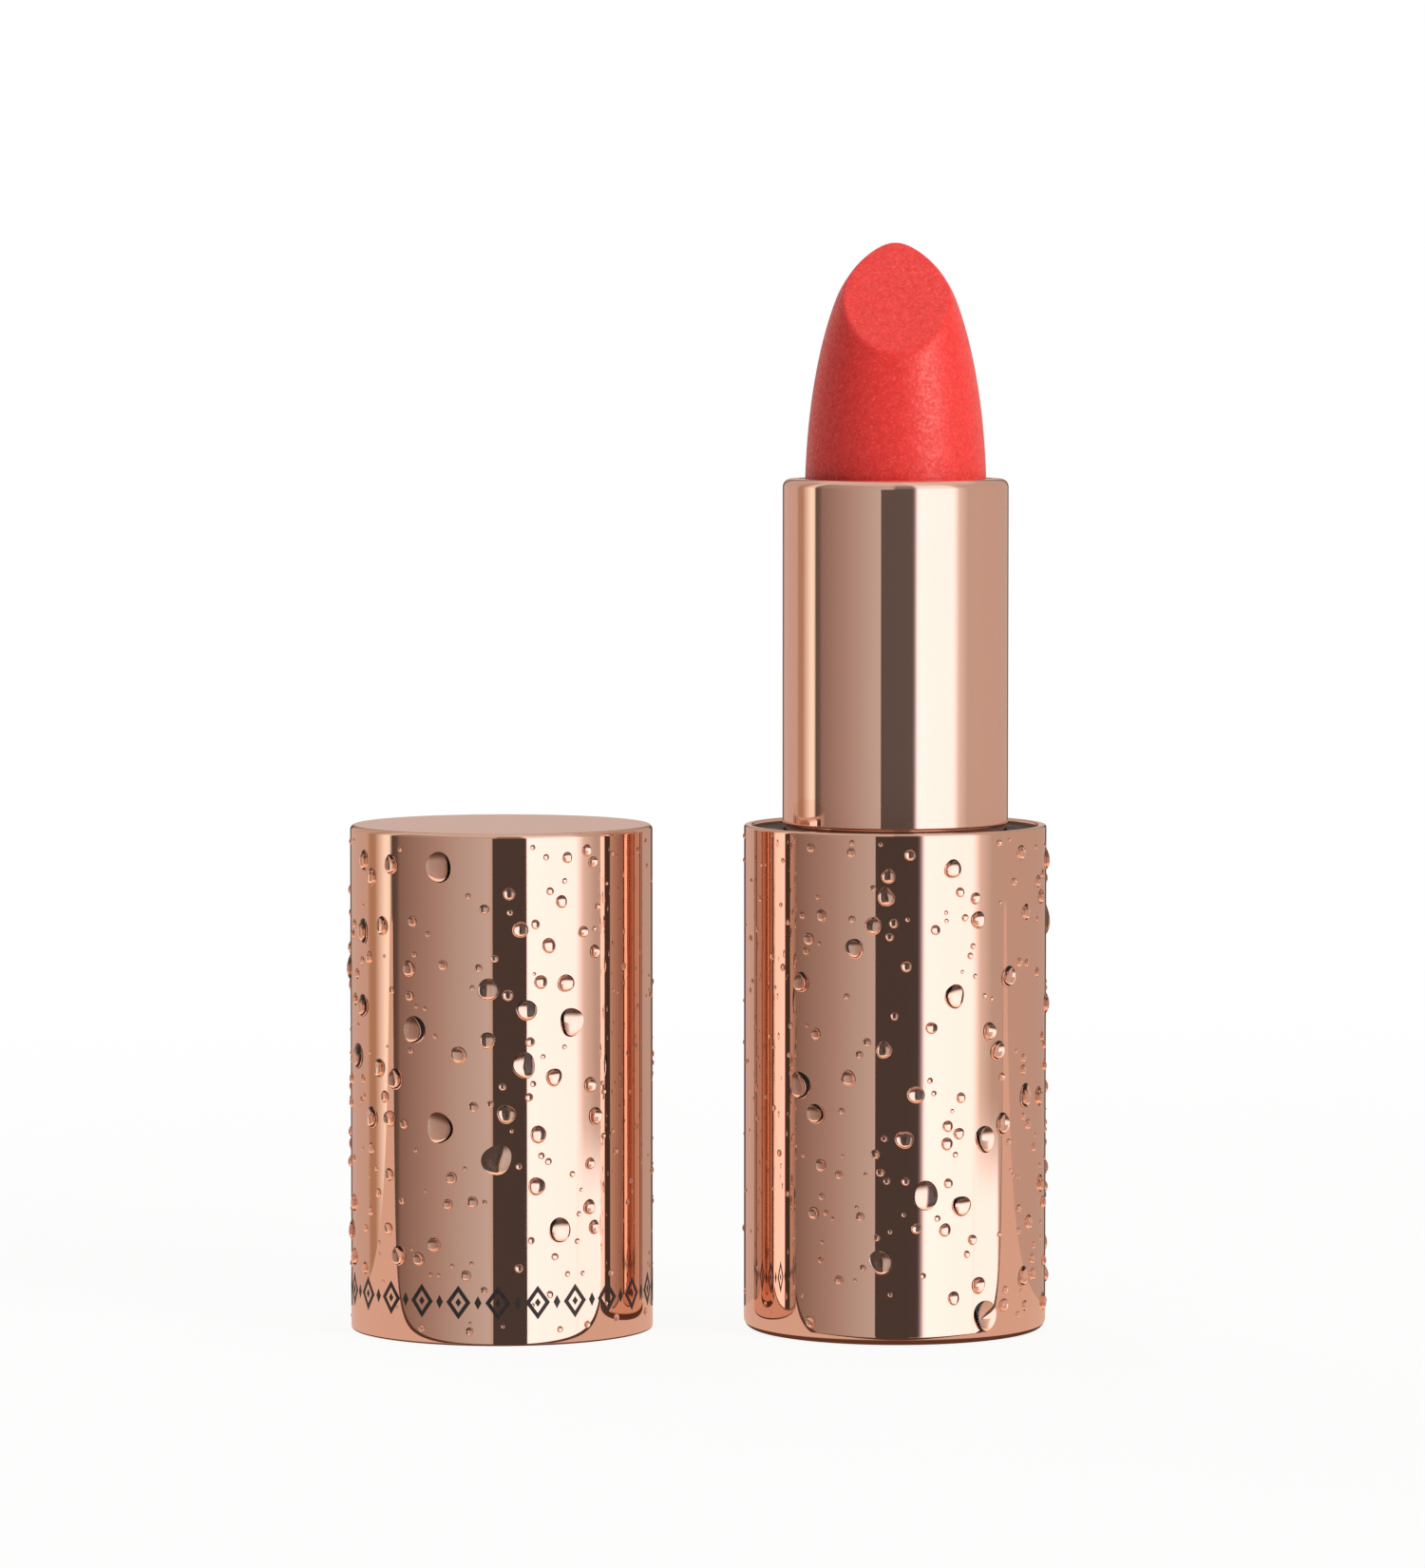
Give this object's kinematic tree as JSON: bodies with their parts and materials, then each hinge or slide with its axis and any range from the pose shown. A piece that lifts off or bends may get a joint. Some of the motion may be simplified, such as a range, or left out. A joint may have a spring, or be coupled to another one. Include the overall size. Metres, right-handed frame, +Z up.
{
  "type": "lipstick case",
  "caption": "Round twist-up lipstick case with a weighted base, turning sleeve, rising wax bullet and a separate pull-off cap standing beside it.",
  "frame": {"origin": "centre of the base's foot, on the surface that the case stands on", "axes": "+Z up along the base's axis to the bullet's point; the bullet's facet faces -Y; the cap stands beside the base towards -X"},
  "size_m": [0.0488, 0.0212, 0.0761],
  "materials": {
    "rose_gold_shell": "mirror",
    "rose_gold_sleeve": "mirror",
    "black_moulding": "gloss",
    "white_moulding": "satin",
    "silicone": "satin",
    "steel": "satin",
    "label": "matte",
    "wax": "satin",
    "drops": "clear gloss",
    "ink": "satin"
  },
  "bodies": {
    "base": {"base_shell": "rose_gold_shell", "base_insert": "black_moulding", "base_weight": "steel", "shade_label": "label", "slotted_tube": "white_moulding", "drag_ring": "silicone"},
    "sleeve": {"sleeve_shell": "rose_gold_sleeve", "spiral_cam": "white_moulding"},
    "carrier": {"carrier_cup": "white_moulding", "lipstick_bullet": "wax"},
    "cap": {"cap_shell": "rose_gold_shell", "cap_liner": "black_moulding"}
  },
  "joints": [
    {"name": "sleeve_twist", "type": "hinge", "parent": "base", "child": "sleeve", "pos_m": [0, 0, 0.0351], "axis": [0, 0, 1], "range_deg": [0, 555]},
    {"name": "bullet_rise", "type": "slide", "parent": "base", "child": "carrier", "axis": [0, 0, 1], "range_m": [-0.0185, 0]},
    {"name": "cap_lift", "type": "slide", "parent": "base", "child": "cap", "axis": [0, 0, 1], "range_m": [0, 0.05]}
  ],
  "couplings": [
    {"joint": "sleeve_twist", "follows": "bullet_rise", "rad_per_m": -523.6}
  ]
}
